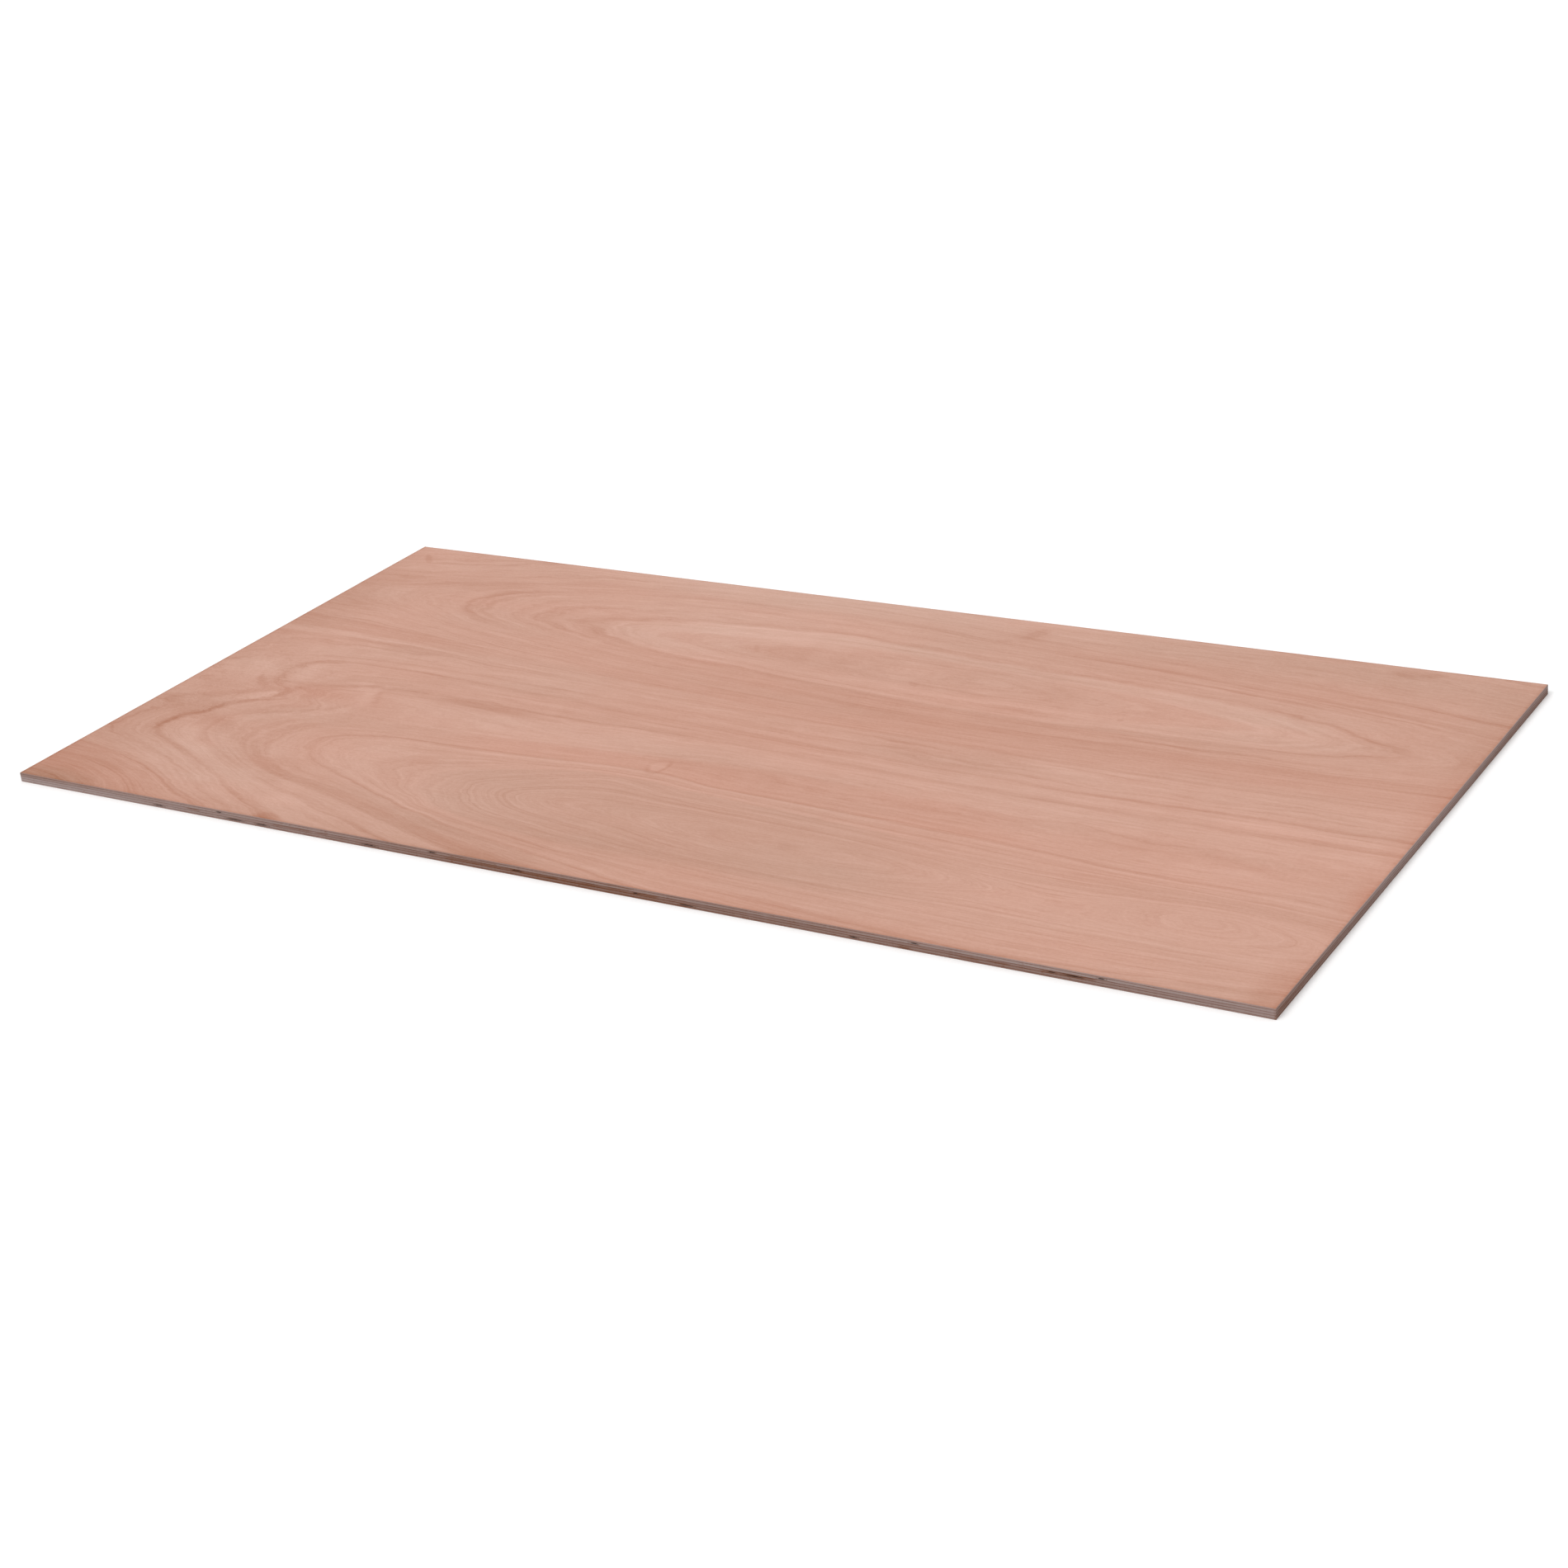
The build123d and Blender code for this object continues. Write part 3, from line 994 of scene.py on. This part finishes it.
# Small marks on the face: (x, y), (half length, half width), turn in degrees, darkness
SPOTS = (
    ((4.7, 5.0), (2.4, 0.7), -48, 9),
    ((122, 4.6), (2.8, 1.3), 64, 6),
    ((118.5, 8.6), (1.6, 0.8), 30, 4),
    ((184, 2.0), (2.2, 0.9), 20, 7),
    ((180, 3.0), (1.8, 0.7), -10, 6),
    ((148, 30.5), (0.6, 0.4), 0, 10),
    ((113, 28.0), (1.2, 0.6), -30, 6),
    ((82.7, 23.2), (1.8, 0.5), -58, 4),
    ((3.5, 69.6), (1.9, 1.5), 0, 8),
    ((47.5, 99.3), (2.6, 1.2), 0, 12),
    ((143, 17.5), (1.4, 0.5), 20, 4),
)

# Where a spot begins to fade and where it ends, in squared shares of its half sizes
SPOT_FADE = (0.15, 1.4)

# The pin knot, in hundredths of the width
KNOT_PLACE = (92.4, 66.0)
KNOT_RADIUS = 1.6
KNOT_HEIGHT = 1.3
KNOT_LINE = 0.6
KNOT_DARKNESS = 9.0
KNOT_PALENESS = -5.0
KNOT_FAINTEST = 0.35


def spot(tree, x, y, centre, half, turn):
    """A soft oval mark on the face, from coordinates in hundredths of the width."""
    side = tree.maths("SUBTRACT", x, centre[0])
    down = tree.maths("SUBTRACT", y, centre[1])
    cosine, sine = math.cos(math.radians(turn)), math.sin(math.radians(turn))
    along = tree.scale_add(side, cosine / half[0], tree.times(down, -sine / half[0]))
    across = tree.scale_add(side, sine / half[1], tree.times(down, cosine / half[1]))
    return tree.ramp(tree.squares(along, across), *SPOT_FADE, 1.0, 0.0)


def pin_knot(tree, x, y, wander):
    """The small round knot: a thin dark line most of the way round a pale middle."""
    side = tree.maths("SUBTRACT", x, KNOT_PLACE[0])
    down = tree.scale_add(y, 1 / KNOT_HEIGHT, -KNOT_PLACE[1] / KNOT_HEIGHT)
    radius = tree.total(tree.maths("SQRT", tree.squares(side, down)), wander)
    off = tree.maths("ABSOLUTE", tree.maths("SUBTRACT", radius, KNOT_RADIUS))
    line = tree.ramp(off, 0.0, KNOT_LINE, 1.0, 0.0)
    facing = tree.ramp(tree.total(side, down), -KNOT_RADIUS, KNOT_RADIUS, KNOT_FAINTEST, 1.0)
    middle = tree.ramp(radius, KNOT_RADIUS * 0.5, KNOT_RADIUS, 1.0, 0.0)
    dark = tree.times(line, tree.times(facing, KNOT_DARKNESS))
    return tree.scale_add(middle, KNOT_PALENESS, dark)


def ring_lines(tree, level, spread):
    """The darkness of all the ring lines: each rises on one side of its level and fades on the other."""
    found = []
    for ring, darkness, lower, upper in RING_LINES:
        off = tree.maths("DIVIDE", tree.maths("SUBTRACT", level, ring), spread)
        rise = tree.ramp(off, -lower, 0.0)
        fall = tree.ramp(off, 0.0, upper, darkness, 0.0)
        found.append(tree.times(rise, fall))
    return tree.total(*found)


def face_material():
    """Sanded rotary-cut veneer: rings from the growth level, fine grain along X, pores and soft clouds."""
    tree = Tree(bpy.data.materials.new("face_veneer_grain"))
    place = tree.place()
    axes = tree.axes(place)
    x = tree.scale_add(axes[0], 1 / HUNDREDTH, -LOW.x / HUNDREDTH)
    y = tree.scale_add(axes[1], -1 / HUNDREDTH, HIGH.y / HUNDREDTH)
    spread = tree.maths("MAXIMUM", tree.attribute("spread"), LEAST_SPREAD)
    wander = tree.noise(place, (11, 45, 0), 4, 0.6, 0.75, 0)
    jags = tree.times(tree.noise(place, (55, 90, 0), 3, 0.65, 3.2, 11), tree.attribute("turmoil"))
    level = tree.total(tree.attribute("growth"), wander, jags)
    strip = tree.vector(axes[0], level, 0.0)
    uneven = tree.noise(strip, (6, 0.9, 1), 2, 0.5, 2.4, 3)
    strength = tree.times(tree.attribute("lines"), tree.total(uneven, 0.95))
    rings = tree.times(ring_lines(tree, level, spread), strength)
    streaks = tree.noise(strip, (7, 2.4, 1), 5, 0.75, 19, 1)
    fine_streaks = tree.noise(strip, (14, 7.0, 1), 5, 0.8, 34, 2)
    fibres = tree.noise(place, (18, 400, 0), 4, 0.75, 16, 4)
    clouds = tree.noise(place, (4, 11, 0), 2, 0.5, 9, 5)
    chatter = tree.noise(place, (48, 5, 0), 1, 0.5, 4, 6)
    grit = tree.noise(place, (300, 520, 0), 2, 0.7, 16, 7)
    pore = tree.noise(place, (130, 2300, 0), 1, 0.5, 1, 8)
    pores = tree.ramp(pore, 0.13, 0.22, 0.0, 5.0)
    away = tree.total(tree.attribute("away"), tree.noise(place, (75, 150, 0), 4, 0.7, 2.4, 12))
    stroke = tree.times(tree.ramp(away, -0.1, 1.5, 1.0, 0.0), tree.attribute("stroke"))
    thin = tree.ramp(tree.noise(strip, (3, 3.2, 1), 3, 0.6, 1, 13), 0.05, 0.2, 0.0, 8.0)
    darkness = tree.total(tree.attribute("tone"), rings, stroke, thin, streaks, fine_streaks, fibres,
                          clouds, chatter, grit, pores)
    for centre, half, turn, dark in SPOTS:
        darkness = tree.scale_add(spot(tree, x, y, centre, half, turn), dark, darkness)
    knot = pin_knot(tree, x, y, tree.noise(place, (90, 90, 0), 1, 0.5, 0.9, 9))
    darkness = tree.total(darkness, knot)
    hue = tree.noise(place, (5, 14, 0), 2, 0.5, 7, 10)
    redness = tree.total(tree.attribute("redness"), hue)
    colour = shaded(tree, FACE_BASE, darkness, redness)
    roughness = tree.scale_add(tree.total(streaks, fibres), 0.006, 0.62)
    relief = tree.total(fibres, tree.times(pores, 2.0), tree.times(rings, 0.4))
    return finish_wood(tree, colour, tree.times(relief, FACE_RELIEF), roughness, FACE_RELIEF_DEPTH)


def back_material():
    """The plainer back veneer: straight grain with wide, weak rings."""
    tree = Tree(bpy.data.materials.new("back_veneer_grain"))
    place = tree.place()
    axes = tree.axes(place)
    drift = tree.noise(place, (1.1, 3.5, 0), 2, 0.5, 7, 20)
    level = tree.scale_add(axes[1], 26.0, drift)
    strip = tree.vector(axes[0], level, 0.0)
    broad = tree.noise(strip, (2.5, 1.2, 1), 3, 0.6, 30, 21)
    streaks = tree.noise(strip, (7, 5.0, 1), 5, 0.65, 26, 22)
    fibres = tree.noise(place, (22, 620, 0), 3, 0.6, 9, 23)
    pore = tree.noise(place, (110, 2100, 0), 1, 0.5, 1, 24)
    pores = tree.ramp(pore, 0.1, 0.2, 0.0, 9.0)
    darkness = tree.total(broad, streaks, fibres, pores)
    colour = shaded(tree, BACK_BASE, darkness, tree.noise(place, (3, 9, 0), 2, 0.5, 9, 25))
    roughness = tree.scale_add(tree.total(streaks, fibres), 0.005, 0.7)
    relief = tree.total(fibres, tree.times(pores, 2.0), streaks)
    return finish_wood(tree, colour, tree.times(relief, FACE_RELIEF), roughness, ROUGH_RELIEF_DEPTH)


def edge_material(kind, base, end_grain, seed):
    """The sawn edge of a ply. Across the grain it is full of pores, and along the grain it is streaked."""
    grain = "end" if end_grain else "long"
    tree = Tree(bpy.data.materials.new(f"{kind}_edge_{grain}_grain"))
    place = tree.place()
    if end_grain:
        texture = tree.noise(place, (520, 520, 1500), 3, 0.65, 34, seed)
        checks = tree.ramp(tree.noise(place, (230, 230, 420), 1, 0.5, 1, seed + 1), 0.16, 0.26, 0.0, 16.0)
    else:
        texture = tree.noise(place, (26, 26, 2300), 3, 0.6, 30, seed)
        checks = tree.ramp(tree.noise(place, (60, 60, 1500), 1, 0.5, 1, seed + 1), 0.18, 0.26, 0.0, 12.0)
    clouds = tree.noise(place, (19, 19, 300), 2, 0.5, 26, seed + 2)
    saw = tree.noise(place, (760, 760, 22), 1, 0.5, 12, 30)
    glue_patches = tree.noise(place, (70, 70, 70), 2, 0.5, 1.6, 31)
    glue = tree.times(tree.attribute("glue"), tree.total(glue_patches, 1.0))
    darkness = tree.total(texture, checks, clouds, saw, tree.attribute("stain"))
    darkness = tree.scale_add(glue, GLUE_DARKNESS, darkness)
    colour = shaded(tree, base, tree.maths("MINIMUM", darkness, EDGE_DARKEST), None)
    roughness = tree.scale_add(texture, 0.004, 0.78)
    relief = tree.total(texture, checks, saw)
    return finish_wood(tree, colour, tree.times(relief, EDGE_RELIEF), roughness, ROUGH_RELIEF_DEPTH)


def edge_pair(kind, base, end_grain, seed):
    """The materials of a ply's long and short sides. One shows end grain and the other long grain."""
    return [edge_material(kind, base, end_grain, seed), edge_material(kind, base, not end_grain, seed + 3)]


def add_plies():
    """All five pieces. Long grain shows on the long sides of the veneers and the centre ply."""
    veneer_edges = edge_pair("veneer", VENEER_EDGE_BASE, False, 50)
    centre_edges = edge_pair("centre", CENTRE_BASE, False, 56)
    cross_edges = edge_pair("crossband", CROSSBAND_BASE, True, 62)
    add_back_veneer(veneer_edges + [back_material()])
    add_inner_ply("lower_crossband", "crossband", cross_edges)
    add_inner_ply("centre_ply", "centre_ply", centre_edges)
    add_inner_ply("upper_crossband", "crossband", cross_edges)
    add_face_veneer(veneer_edges + [face_material()])


add_camera()
add_floor()
add_light()
bpy.context.scene.view_settings.view_transform = "Standard"
add_plies()
